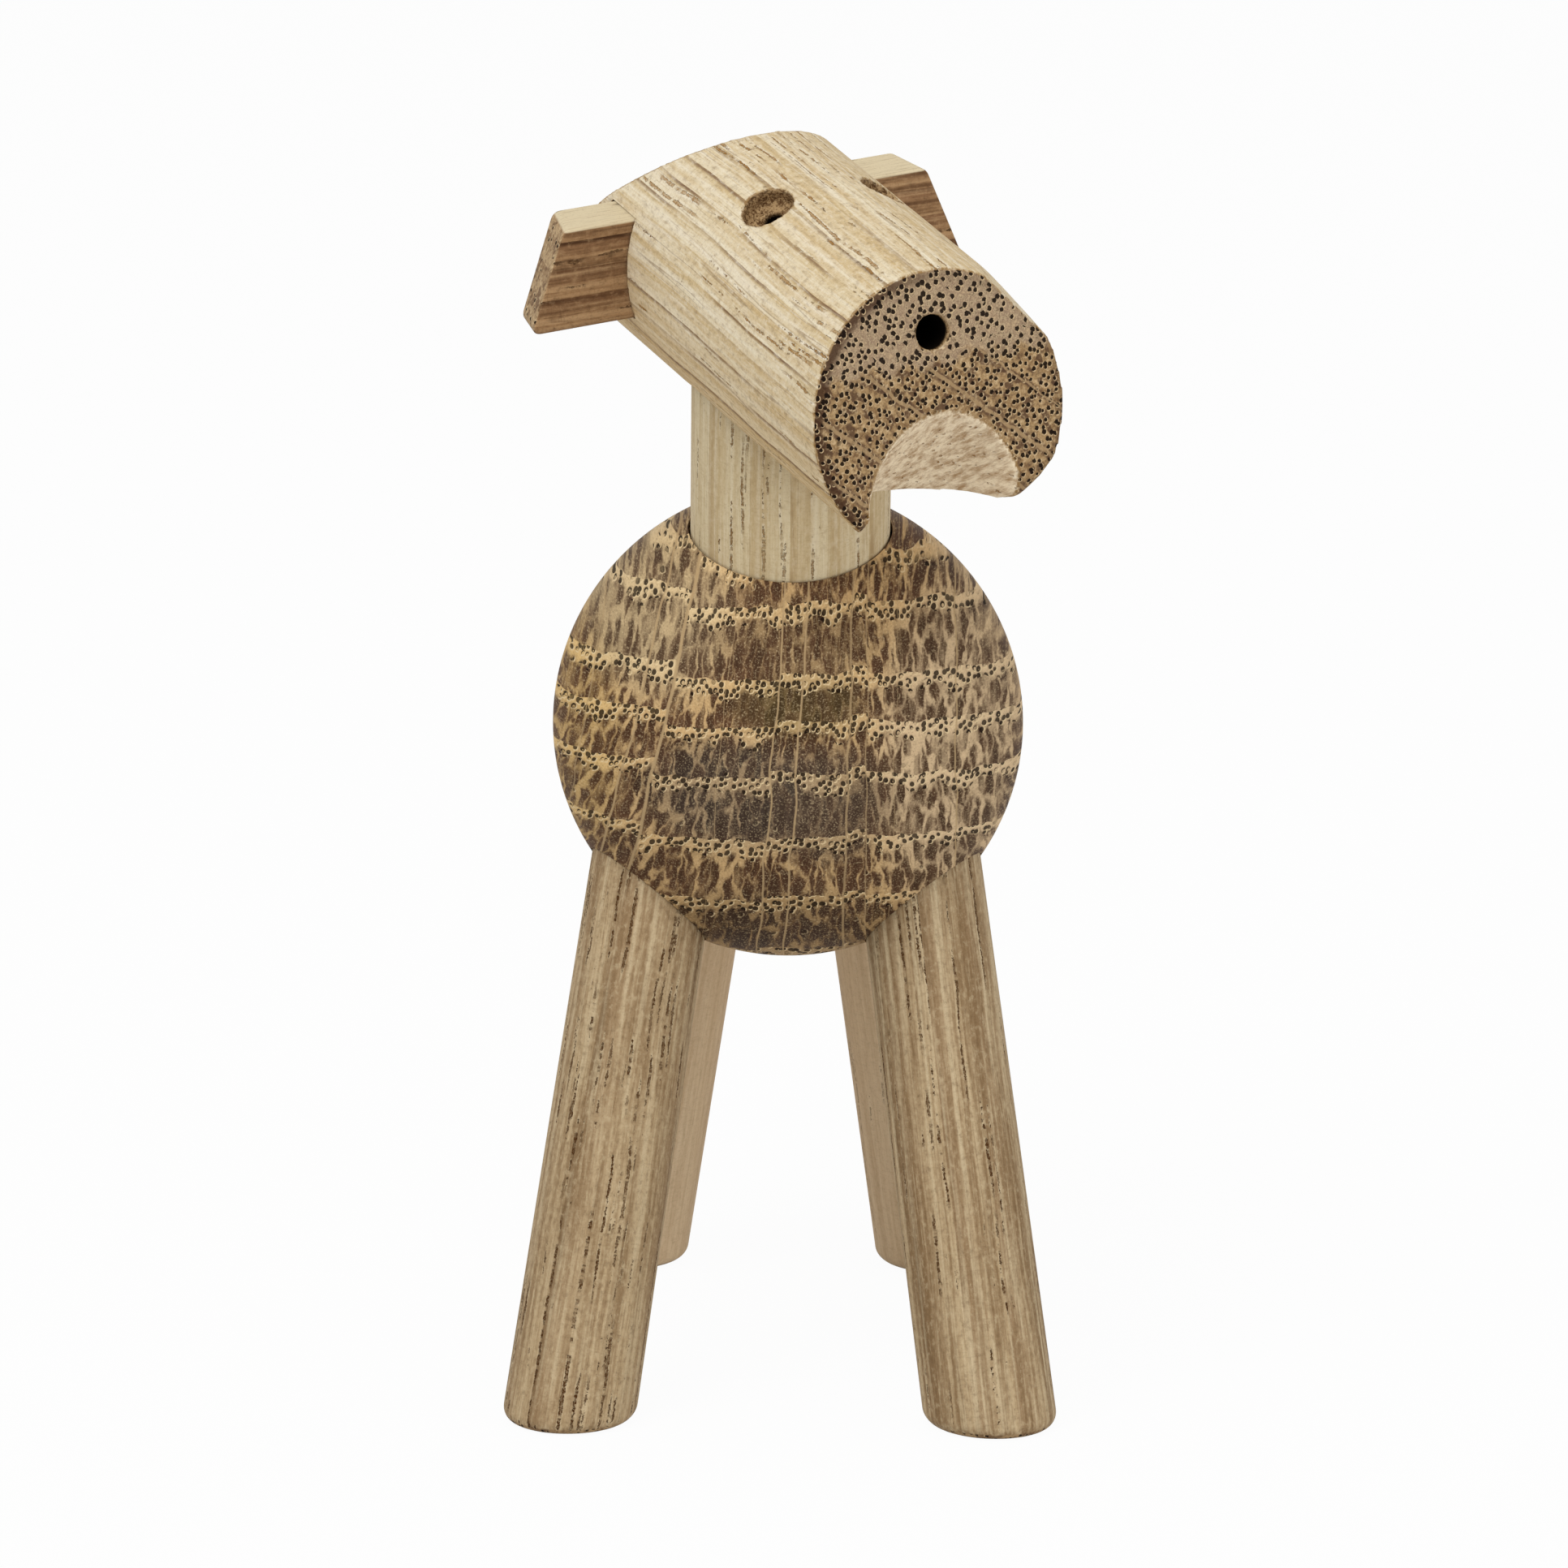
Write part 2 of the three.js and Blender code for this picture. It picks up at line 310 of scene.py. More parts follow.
def longOak(name, grain, look):
    # oak cut along the grain: rings about a far pith, and vessels that wander in and out of the
    # surface as broken dashes; where the wood is cut across they are round holes
    material, wire, q = startMaterial(name, grain)
    u, v, w = q.parts()
    seed, pick, face = look["seed"], look["pore"], look.get("face")
    raw = wire.attribute("endCut")
    end = raw.step(0.5, 0.75)
    if face:
        scooped, hollow = wire.attribute("scooped"), wire.attribute("hollow")
        end = end * (1 - scooped)
    drift = wire.noise(wire.point(w * 0.1 + seed, u * 0.08, v * 0.08), 1, 2) - 0.5
    sway = wire.noise(wire.point(w * 0.1 + seed + 50, u * 0.08, v * 0.08), 1, 2) - 0.5
    a = u + drift * look["wander"]
    b = v + sway * look["wander"] + w * look["lean"]

    # rings: distance from the pith, each with a thin line at its end that comes and goes
    du, dv = a - look["pith"][0], b - look["pith"][1]
    phase = (du * du + dv * dv) ** 0.5 / look["ring"]
    ring = phase.math("FLOOR", phase)
    t = phase.math("FRACT", phase)
    fate = wire.add("TexWhiteNoise", {"noise_dimensions": "1D"}, {"W": ring + seed}, "Value")
    fade = wire.noise(wire.point(a * 0.5 + seed, b * 0.5, w * 0.13), 1, 1).step(0.36, 0.6)
    late = t.step(0.25, 0.92)
    line = t.step(0.80, 0.95) * t.step(1.0, 0.98) * fate.step(0.05, 0.7) * fade
    thread = wire.noise(wire.point(a * 1.1 + seed, b * 1.1, w * 0.03), 1, 1)
    thread = (0.018 - abs(thread - 0.5)).step(0.0, 0.014) * (1 - fade)

    # fibres, broad bands along the grain, fuzz, and flecks across it
    fibre = wire.noise(wire.point(a * 8, b * 8, w * 0.35 + seed), 1, 3, 0.6)
    band = wire.noise(wire.point(a * 1.0 + seed, b * 1.0, w * 0.03), 1, 2)
    stripe = wire.noise(wire.point(a * 2.6, b * 2.6 + seed, w * 0.05), 1, 2)
    nap = wire.noise(wire.point(u * 9, v * 9, w * 7), 1, 2, 0.7)
    mottle = wire.noise(wire.point(u * 3.4, v * 3.4 + seed, w * 2.2), 1, 3, 0.65)
    tick = wire.noise(wire.point(u * 1.6, v * 1.6 + seed, w * 9), 1, 1)
    cluster = wire.noise(wire.point(a * 0.8, b * 0.8 + seed, w * 0.05), 1, 1).step(0.38, 0.62)

    # zones and rays of a face that is cut across
    high, rays, flank = 0.0, 0.0, 0.0
    if face:
        height = u * face["up"][0] + v * face["up"][1]
        high = (height + (cluster - 0.5) * 0.5 + (band - 0.5) * 1.5 - face["edge"]).step(-0.3, 0.3)
        for place, wide in face["rays"]:
            aside = abs(u - place + (band - 0.5) * 0.4)
            rays = rays + aside.step(wide, wide * 0.5)
            flank = flank + aside.step(wide * 2.6, wide * 1.2)
        rays, flank = rays * (1 - high), flank * (1 - high)

    # vessels
    cellAcross = (a + drift * pick["wander"]) / pick["cell"]
    cellDown = (b + sway * pick["wander"]) / pick["cell"]
    spot, (chance, girth, shade), _, down = wire.cells(cellAcross, cellDown, 0.9)
    early = t.step(0.75, 0.1)
    longShare = early * cluster * pick["share"] + pick["stray"]
    share = longShare * (1 - end) + end * (pick["endShare"] - high * (1 - cluster) * 0.45)
    size = girth * 0.12 + pick["size"] + high * 0.06 - (1 - end) * pick["thin"]
    chosen = (share - chance).step(0.0, 0.02) * (1 - rays * 0.8)
    ragged = (nap - 0.5) * pick["jag"] + (mottle - 0.5) * (1 - end) * 0.5
    bore = (size - spot + ragged).step(0.0, 0.07) * chosen
    chain = wire.noise(wire.point(chance * 40, girth * 40, w * pick["break"]), 1, 1)
    dash = wire.noise(wire.point(girth * 40, shade * 40, w * pick["dash"]), 1, 2, 0.6)
    shown = end + (1 - end) * chain.step(0.41, 0.52) * dash.step(0.38, 0.5)
    pore = bore * shown
    halo = (size + 0.15 - spot).step(0.0, 0.12) * chosen * shown * (1 - pore)
    # rim: the side of each pore's halo towards the light, to be painted pale as a painted highlight
    rim = halo * down.step(-0.15, 0.2)

    # colours of the long grain, then of the wood cut across
    colour = late.mix(tint(look["early"]), tint(look["late"]))
    colour = (band.step(0.4, 0.74) * look["band"]).mix(colour, tint(look["stain"]))
    colour = (stripe.step(0.45, 0.75) * look["band"]).mix(colour, tint(look["stain"]))
    colour = (stripe.step(0.55, 0.25) * look["band"]).mix(colour, tint(look["pale"]))
    colour = (line * look["line"]).mix(colour, tint(look["dark"]))
    colour = (thread * look["line"] * 0.5).mix(colour, tint(look["dark"]))
    colour = (fibre.step(0.5, 0.75) * 0.5).mix(colour, tint(look["stain"]))
    colour = (fibre.step(0.48, 0.25) * 0.45).mix(colour, tint(look["pale"]))
    colour = (tick.step(0.56, 0.72) * 0.14).mix(colour, tint(look["dark"]))
    colour = (nap.step(0.5, 0.75) * 0.25).mix(colour, tint(look["dark"]))
    colour = (mottle.step(0.5, 0.72) * look["mottle"]).mix(colour, tint(look["dark"]))
    colour = (mottle.step(0.5, 0.28) * look["mottle"]).mix(colour, tint(look["pale"]))
    across = late.mix(tint(look["endEarly"]), tint(look["endLate"]))
    patch = wire.noise(wire.point(a * 1.8 + 9, b * 1.2, w * 0.05), 1, 1).step(0.54, 0.62)
    across = (patch * 0.8).mix(across, tint(look["endDark"]))
    if face:
        across = (high * 0.85).mix(across, tint(face["blush"]))
        across = (high * mottle.step(0.46, 0.6) * 0.85).mix(across, tint(face["fleck"]))
        across = ((1 - high) * 0.4).mix(across, tint(face["shade"]), "MULTIPLY")
        across = (flank * 0.65).mix(across, tint(look["endDark"]))
        # the scoop's fibres are painted far paler than the wood: painted light on the shaded scoop
        stroke = wire.noise(wire.point((a + w * 0.5) * 2.2, (b - w * 0.3) * 2.2, w * 0.5), 1, 4, 0.7)
        shavingPaintedLight = stroke.step(0.36, 0.72).mix(tint(face["scoop"]), tint(face["scoopDark"]))
        shavingPaintedLight = (fibre.step(0.5, 0.7) * 0.3).mix(shavingPaintedLight, tint(face["scoopDark"]))
        colour = scooped.mix(colour, shavingPaintedLight)
        fringe = scooped * (1 - scooped) * 4
    across = (nap.step(0.46, 0.7) * 0.45).mix(across, tint(look["endDark"]))
    across = (mottle.step(0.5, 0.68) * 0.7).mix(across, tint(look["endDark"]))
    across = (mottle.step(0.5, 0.3) * 0.6).mix(across, tint(look["endPale"]))
    if face:
        across = (rays * 0.75).mix(across, tint(face["ray"]))
        out = (u * u + v * v) ** 0.5 + (mottle - 0.5) * 0.8
        aside = u * -face["up"][1] + v * face["up"][0]
        across = (out.step(7.3, 7.9) * (aside.step(2, -4) * 0.65 + 0.25)).mix(across, tint(face["rim"]))
        colour = (height.step(3, -6) * (1 - scooped) * 0.55).mix(colour, tint(face["gold"]), "MULTIPLY")
    colour = end.mix(colour, across)
    if face:
        brink = raw.step(0.15, 0.35) * raw.step(0.8, 0.6) * (1 - scooped)
        brink = brink.least(fringe)
        colour = (brink * mottle.step(0.3, 0.6) * 0.8).mix(colour, tint(face["brink"]))
    if "cap" in look:  # the pale upper edge of a board
        capAt, capTint = look["cap"]
        rubbed = nap.step(0.5, 0.8) * 0.2 + fibre.step(0.5, 0.75) * 0.35 + line * 0.3
        colour = (v.step(capAt - 0.1, capAt) * (1 - rubbed)).mix(colour, tint(capTint))
    # painted highlight: the lit side of each pore's halo is painted pale
    poreHighlightTint = end.mix(tint(look["pale"]), tint(look["endPale"]))
    colour = (rim * (0.5 + end * 0.4)).mix(colour, poreHighlightTint)
    grit = nap.step(0.36, 0.6) * 0.55 + 0.45
    filled = (shade * 0.25 + pick["deep"]) * grit * (1 - end) + end * 0.96
    poreTint = end.mix(tint(pick["tint"]), tint(darkest["endPore"]))
    colour = (pore * filled).mix(colour, poreTint)
    # the black in the deep holes is painted shadow
    if face:  # torn fibres on the eyes' floors, black in the deep holes
        fuzz = (nap + mottle - 0.5).step(0.3, 0.7)
        fuzz = fuzz.mix(tint(darkest["fuzzPale"]), tint(darkest["fuzzDark"]))
        colour = (hollow * 2).mix(colour, fuzz)
        colour = (hollow * 2 - 1).mix(colour, tint(darkest["hole"]))
    height = fibre * 0.25 + nap * 0.15 + tick * 0.1 - pore
    roughness = 0.58 + nap * 0.12 + pore * 0.2
    closeMaterial(wire, colour, roughness, height, 0.09)
    return material


def smokedOak(name, grain, look):
    # end grain: rings across the front, each opening with rows of pores in pale wood above a dark
    # block that pale veins split into cells, and rays that cross them all
    material, wire, q = startMaterial(name, grain)
    u, v, w = q.parts()
    end = wire.attribute("endCut").step(0.2, 0.5)
    slope = (u * 0.016 - 0.06).most(0.012)
    stray = wire.noise(wire.point(u * 0.3, v * 0.3, w * 0.03), 1, 1) - 0.5
    column = u - v * slope + stray * 0.5

    # rays: pale lines, with the rings stepped where they cross one
    bend = (wire.noise(wire.point(u * 0.15, v * 0.3, w * 0.03), 1, 1) - 0.5) * 0.7
    rays, slip = 0, look["offset"]
    for place, lean, wide, drop, clear in look["rays"]:
        aside = u - v * lean - place + bend
        rays = rays + abs(aside).step(wide * 0.8, wide * 0.3) * clear
        slip = slip + aside.step(-0.05, 0.05) * drop
    waver = wire.noise(wire.point(column * 0.3, v * 0.12, w * 0.02), 1, 1) - 0.5
    scallop = wire.noise(wire.point(column * 1.2, v * 0.25, w * 0.04), 1, 1) - 0.5
    depth = v - u * u * look["bow"] - slip + waver * 0.7 + scallop * 0.5

    # start and end of the ring that a point lies in
    rings = look["rings"]
    low, span = rings[0], rings[-1] - rings[0]
    level = [(b - low) / span for b in rings]
    starts = [(a, (a, a, a, 1)) for a in level[:-1]]
    ends = [(a, (b, b, b, 1)) for a, b in zip(level, level[1:])]
    share = (depth - low) / span

    def ringEdge(stops):
        ramp = wire.add("ValToRGB", {"stops": stops, "blend": "CONSTANT"}, {0: share})
        return ramp.parts()[0] * span + low

    begin, finish = ringEdge(starts), ringEdge(ends)
    below = depth - begin
    t = below / (finish - begin)

    # open pores in rows along the top of the ring, deeper in some places; each is a dark oval, part
    # filled, with a painted highlight on its far edge
    tongue = wire.noise(wire.point(column * 0.6 + begin * 3.7, begin * 5.1, w * 0.02), 1, 2)
    tongue = tongue.step(0.25, 0.8) * 0.9 + 0.5
    cellAcross, cellDown = column / 0.37 + begin * 7.3, below / 0.42 + 0.1
    spot, (chance, girth, shade), dx, dy = wire.cells(cellAcross, cellDown, 0.8)
    lead = below.step(0.75, 0.5) * 0.97
    likely = lead.least((below - tongue).step(0.3, -0.1) * 0.93) + 0.015
    chosen = (likely - chance).step(0.0, 0.02) * (1 - rays * 0.95)
    speck = wire.noise(wire.point(u * 9, v * 9, w * 0.8), 1, 2, 0.7)
    size = girth * 0.15 + 0.30 + (speck - 0.5) * 0.12
    hole = (size - spot).step(0.0, 0.10)
    fx, fy = dx - 0.08, dy - 0.10
    fill = (shade.step(0.5, 1.0) * 0.36 - (fx * fx + fy * fy) ** 0.5).step(0.0, 0.08)
    dash = wire.noise(wire.point(u * 2.2, v * 2.2, w * 0.22), 1, 1).step(0.5, 0.56)
    shown = chosen * (end + (1 - end) * dash)
    pore = hole * (1 - fill * 0.9) * shown
    halo = (size + 0.22 - spot).step(0.0, 0.12) * (1 - hole) * shown
    # rim: the far edge of each pore's halo, to be painted pale as a painted highlight
    rim = halo * (dx + dy).step(-0.05, 0.3)

    # pale early wood with a ragged lower edge, then veins between dark cells and soft wisps
    fray = wire.noise(wire.point(column * 2.6 + begin, depth * 1.1, w * 0.05), 1, 3, 0.6)
    warp = wire.noise(wire.point(column * 1.4 + 20, depth * 0.7, w * 0.04), 1, 2, 0.6)
    wispDown, blobDown = depth * 0.34 + fray * 0.25, depth * 0.5 + (fray - 0.5) * 0.5
    wisp = wire.noise(wire.point(column * 1.5 + begin * 2.3, wispDown, w * 0.03), 1, 3, 0.6)
    blob = wire.noise(wire.point(column * 1.35 + begin * 1.7, blobDown, w * 0.03), 1, 2, 0.55)
    beyond = below - tongue - fray * 0.7 + 0.42
    early = beyond.step(0.25, -0.3)
    across = column / 0.62 + begin * 3.1 + (warp - 0.5) * 1.7
    down = below / 2.2 + (fray - 0.5) * 0.6
    seam = wire.seams(across, down, 0.9)
    tone = wire.cells(across, down, 0.9)[1][0]

    # broad changes of colour over the block
    dark = (t.step(0.35, 1.0) * 0.5).mix(tint(look["dark"]), tint(look["mid"]))
    light = tint(look["light"])
    smear, lift = 0, 0
    for (x, y), wide, high, shadow, gleam, much, blur, paler in look["zones"]:
        dx, dy = (u - x) / wide, (v - y) / high
        here = (dx * dx + dy * dy).step(1.0, 0.15)
        dark = (here * much).mix(dark, tint(shadow))
        light = (here * much).mix(light, tint(gleam))
        smear = smear + here * blur
        lift = lift + here * paler
    pale = (wisp + lift).step(0.56, 0.78) * 0.5
    gape = blob.step(0.42, 0.68) * 0.16 + lift * 0.5 + beyond.step(0.9, -0.1) * 0.10
    gape = gape + (fray - 0.5) * 0.15 + 0.015
    vein = (gape - seam).step(-0.11, 0.10) * (1 - smear * 0.75)
    streak = (vein * (blob.step(0.3, 0.7) * 0.45 + 0.45)).least(pale)
    dark = (tone * 0.3).mix(dark, tint(look["mid"]))
    dark = (seam.step(0.1, 0.4) * 0.3).mix(dark, tint(look["deep"]))
    dark = (wisp.step(0.5, 0.3) * 0.4).mix(dark, tint(look["deep"]))
    colour = (streak * 0.95).mix(dark, light)
    colour = (early * 0.95).mix(colour, light)
    colour = (speck.step(0.5, 0.78) * 0.45).mix(colour, tint(look["gleam"]))
    colour = (speck.step(0.5, 0.22) * 0.45).mix(colour, tint(look["deep"]))
    colour = (rays * 0.85).mix(colour, tint(look["ray"]))
    colour = (halo * 0.2).mix(colour, tint(look["mid"]))
    # painted highlight on the pores' far edges
    colour = (rim * 0.75).mix(colour, tint(look["gleam"]))
    colour = (pore * (shade * 0.1 + 0.86)).mix(colour, tint(look["pore"]))
    height = early * 0.04 + speck * 0.14 + rays * 0.06 - pore
    roughness = 0.66 + pore * 0.25 - early * 0.06
    closeMaterial(wire, colour, roughness, height, 0.12)
    return material


# body: a turned egg lying along Y, blunt end to the front

body = {"chestRadius": 14.25, "chestDepth": 12.1, "rumpRadius": 10.2, "rumpBack": 22, "rumpDepth": 7.5,
        "rumpFall": 0.2, "neckGap": 0.15, "legGap": 0.07, "boreUnder": 0.3, "boreTop": 30,
        "oak": {"rings": (-22, -18.4, -15.2, -11.7, -9.27, -5.28, -2.53, 0.6, 4.42, 8.59, 12.94,
                          16.5, 20),
                "bow": 0.0042, "offset": -0.83,
                # rays: place across, lean, half width, step of the rings, strength
                "rays": ((-12.45, -0.16, 0.08, 0, 0.6), (-9.6, -0.24, 0.12, 0.1, 0.9),
                         (-7.79, -0.216, 0.17, 0.95, 1), (-4.03, -0.083, 0.05, 0, 0.5),
                         (-0.92, -0.06, 0.10, -0.4, 0.9), (0.56, -0.05, 0.11, 0, 0.9),
                         (3.58, -0.014, 0.12, -0.35, 0.7), (4.66, 0.008, 0.07, 0.35, 0.6),
                         (6.35, -0.015, 0.05, 0, 0.5), (10.07, 0.013, 0.09, 0, 0.9)),
                # zones: place, width, height, dark and pale colour, strength, blur of veins, more pale
                "zones": (((-14, 0), 5, 16, "#5f4022", "#e0bb7b", 0.85, 0.2, 0.07),
                          ((-8, -8.5), 6, 6, "#68533d", "#dcc295", 0.9, 0.3, 0.10),
                          ((-3, 2.0), 7, 4.5, "#3f362f", "#ab916f", 0.9, 0.2, -0.02),
                          ((0.5, -3.6), 5, 2.4, "#4d3d20", "#ab9062", 0.9, 0.9, -0.06),
                          ((0.5, -7.2), 6, 3, "#4e3723", "#caab7b", 0.8, 0.5, 0.02),
                          ((2.5, 2.5), 5, 4.5, "#4a3f35", "#9f8768", 0.7, 0.7, -0.06),
                          ((10, 0), 6, 13, "#5a4430", "#dfc39c", 0.85, 0.0, 0.10),
                          ((0, 11), 9, 4, "#342316", "#9f8158", 0.85, 0.0, 0.0)),
                # gleam is the colour of the pale flecks and of the painted highlight on the pores' edges
                "dark": "#4b301c", "mid": "#6d4d36", "deep": "#2a190d", "light": "#d4b07c",
                "gleam": "#ebd2a4", "ray": "#b89c73", "pore": "#170b04"}}
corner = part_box("body")[0] / mm
chest = Vector((0, corner.y + body["chestDepth"], corner.z + body["chestRadius"]))
upright = Matrix.Translation(chest)
headTurn = {"neckLean": 11.2, "turn": 28.2, "pitch": 4.6, "rise": 27.97}
neckPlace = upright @ turn(headTurn["neckLean"], "X")
turnPlace = neckPlace @ turn(headTurn["turn"], "Z")
headPlace = turnPlace @ shift(0, 0, headTurn["rise"]) @ turn(headTurn["pitch"], "X")


def bodyProfile(b):
    # quarter ellipse of the chest, falling flank, rounded rump, as radius and distance back
    big, small, back, depth = b["chestRadius"], b["rumpRadius"], b["rumpBack"], b["rumpDepth"]
    reach = back + depth
    chestLine = arc((0, 0), (big, b["chestDepth"]), -90, 0, 56)
    flank = bezier([(big, 0), (big, 0.2 * back), (small + 0.45 * back * b["rumpFall"], 0.55 * back),
                    (small, back)], 44)
    rump = bezier([(small, back), (small - 0.55 * depth * b["rumpFall"], back + 0.55 * depth),
                   (0.62 * small, reach), (0, reach)], 40)
    return np.concatenate([chestLine, flank[1:], rump[1:]])


# legs: tapered dowels cut level at the ground, the lower edge rounded over

legs = {"sole": 4.01, "hip": 3.72, "round": 0.9,
        "front": {"across": 7.524, "back": -1.525, "drop": 4.503, "splay": 8.2, "rake": 14},
        "rear": {"across": 4.672, "back": 16.698, "drop": 3.203, "splay": 8.3, "rake": -14}}


def legLine(side, stand):
    # hip point, sole point and lean of one leg, in the row frame
    hip = np.array(chest) + (side * stand["across"], stand["back"], -stand["drop"])
    lean = np.array((-side * tan(radians(stand["splay"])), tan(radians(stand["rake"])), 1))
    return hip, hip - lean * hip[2], lean


def legSurface(name, side, stand, grow=0.0, cols=96):
    # straight lines from the hip circle to the sole circle; near the ground each turns in along
    # a quarter curve between its own direction and the floor
    hip, sole, lean = legLine(side, stand)
    axis = unit(lean)
    sideways = unit(np.cross((0, 1, 0), axis))
    forward = np.cross(axis, sideways)
    angle = np.linspace(0, 2 * pi, cols, endpoint=False)[:, None]
    spoke = np.cos(angle) * sideways + np.sin(angle) * forward
    top = hip + spoke * (legs["hip"] + grow)
    foot = sole + spoke * (legs["sole"] + grow)
    slope = (top - foot) / (top - foot)[:, 2:]
    rim = foot - slope * foot[:, 2:]
    inward = unit(sole - rim)
    bend = np.linspace(0, pi / 2, 12)[:, None, None]
    over = rim + legs["round"] * (slope * (1 - np.sin(bend)) + inward * (1 - np.cos(bend)))
    wall = np.linspace(0, 1, 60)[:, None, None]
    shaft = top * (1 - wall) + (rim + slope * legs["round"]) * wall
    cap = np.linspace(0, 1, 6)[:, None, None]
    lid = hip + (top - hip) * cap
    base = over[-1] + (sole - over[-1]) * cap
    return skin(name, np.concatenate([lid[:-1], shaft[:-1], over, base[1:]]))


def legGrain(side, stand, twist):
    # the leg's own axis as the grain, its growth turned round it by the twist
    _, sole, lean = legLine(side, stand)
    axis = unit(lean)
    sideways = unit(np.cross((0, 1, 0), axis))
    forward = np.cross(axis, sideways)
    a = radians(twist)
    return {"across": sideways * cos(a) + forward * sin(a),
            "growth": forward * cos(a) - sideways * sin(a), "along": axis, "origin": sole}


legOak = {"pith": (8, -40), "wander": 0.3, "lean": 0.02, "ring": 2.6, "line": 0.5, "band": 0.65,
          "early": "#bba27d", "late": "#a28765", "dark": "#6d5539", "stain": "#866b4a", "pale": "#d0bc98",
          "endEarly": "#a98c66", "endLate": "#8d7150", "endDark": "#6d533a", "endPale": "#c4a67c",
          "mottle": 0.4,
          "pore": {"cell": 0.35, "size": 0.22, "thin": 0.02, "wander": 0.6, "share": 0.95, "stray": 0.55,
                   "endShare": 0.6, "break": 0.2, "dash": 1.7, "jag": 0.55, "deep": 0.8,
                   "tint": "#4c2e11"}}
# the rear legs' oak is painted much paler than the front legs': painted light on legs that lie in the
# body's shade; their grain is also drawn fainter
rearOakPaintedLight = {**legOak, "early": "#dfc6a2", "late": "#d3b590", "dark": "#a98c68", "stain": "#c3a681",
           "pale": "#e9d4b2", "line": 0.25, "band": 0.4, "mottle": 0.2,
           "pore": {**legOak["pore"], "share": 0.3, "stray": 0.03, "deep": 0.2}}
stripedOak = {**legOak, "band": 0.95, "pore": {**legOak["pore"], "share": 0.55, "stray": 0.1}}
# side, pair, turn of the grain, seed, oak
stands = {"leg_front_right": (-1, "front", 10, 3.0, legOak),
          "leg_front_left": (1, "front", 75, 9.0, stripedOak),
          "leg_rear_right": (-1, "rear", 40, 15.0, rearOakPaintedLight),
          "leg_rear_left": (1, "rear", 120, 21.0, rearOakPaintedLight)}

# tail: a short tapered dowel with a half-round tip, leaning back from the rump
tail = {"radius": 2.6, "tip": 2.0, "length": 16.98, "socket": 6, "lean": 38, "gap": 0.07,
        "seed": 27.0, "back": body["rumpBack"] + 0.25 * body["rumpDepth"],
        "rise": 0.72 * body["rumpRadius"]}
tailPlace = upright @ shift(0, tail["back"], tail["rise"]) @ turn(-tail["lean"], "X")


def tailProfile(t, grow=0.0):
    # straight socket, tapering wall and round tip, as radius and height
    shoulder = t["length"] - t["tip"]
    foot = [(0, -t["socket"]), (t["radius"] * 0.5, -t["socket"]), (t["radius"], -t["socket"])]
    wall = np.linspace((t["radius"], 0), (t["tip"], shoulder), 30)
    tip = arc((0, shoulder), (t["tip"], t["tip"]), 0, 90, 16)
    line = np.concatenate([foot, wall, tip[1:]])
    line[-1, 0] = 0
    line[1:-1, 0] += grow
    return line


# neck: a dowel on the leaning axis, grooved for the ring

neck = {"radius": 6, "seat": 1.425, "top": 26.326, "chamfer": 0.5,
        "grooveRadius": 3.6, "grooveAt": 4.625, "grooveHalf": 0.9, "socketGap": 0.05, "socketTop": 0.2,
        "oak": {"seed": 31.0, "pith": (30, -20), "wander": 0.2, "lean": 0.005, "ring": 2.4,
                "line": 0.8, "band": 0.5, "mottle": 0.25,
                "early": "#d8c7a2", "late": "#cab48b", "dark": "#9c7f57", "stain": "#bba277",
                "pale": "#e4d7ba", "endEarly": "#a98c66", "endLate": "#8d7150", "endDark": "#6d533a",
                "endPale": "#c4a67c",
                "pore": {"cell": 0.42, "size": 0.16, "thin": 0.0, "wander": 0.7, "share": 0.75,
                         "stray": 0.16, "endShare": 0.5, "break": 0.15, "dash": 1.5, "jag": 0.45,
                         "deep": 0.65, "tint": "#75501f"}}}


def neckProfile(n):
    # chamfered seat, groove for the ring, wall and chamfered top, as radius and height
    r, c, groove = n["radius"], n["chamfer"], n["grooveRadius"]
    low, high = n["grooveAt"] - n["grooveHalf"], n["grooveAt"] + n["grooveHalf"]
    foot = [(0, n["seat"]), (r - c, n["seat"]), (r, n["seat"] + c), (r, low), (groove, low),
            (groove, high), (r, high)]
    wall = np.linspace((r, high + 0.5), (r, n["top"] - c), 40)
    return np.concatenate([foot, wall, [(r - c, n["top"]), (0, n["top"])]])


# head: a thick dowel sawn off slanting, scooped for the mouth

